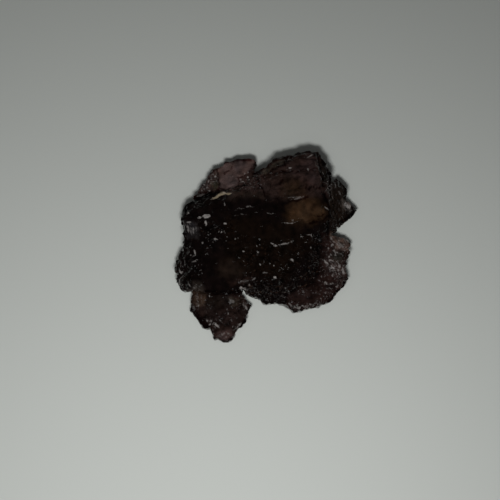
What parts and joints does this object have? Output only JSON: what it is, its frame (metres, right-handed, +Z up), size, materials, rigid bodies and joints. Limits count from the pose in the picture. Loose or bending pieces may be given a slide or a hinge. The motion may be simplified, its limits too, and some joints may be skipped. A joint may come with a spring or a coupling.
{
  "type": "axinite crystal",
  "caption": "Low group of clove-brown, glassy axe-head crystals grown together, with sharp broken rims, growth ledges, studs and a flat broken base.",
  "frame": {"origin": "middle of the underside, on the plane the group rests on", "axes": "+Z up, +Y along the group's long way towards its tallest blade, +X towards its pointed side blade"},
  "size_m": [0.0276, 0.0288, 0.0064],
  "materials": {
    "axinite": "glassy, dark clove-brown with a violet cast, see-through only at thin rims"
  },
  "bodies": {
    "root": {"axinite_crystal": "axinite"}
  },
  "joints": []
}
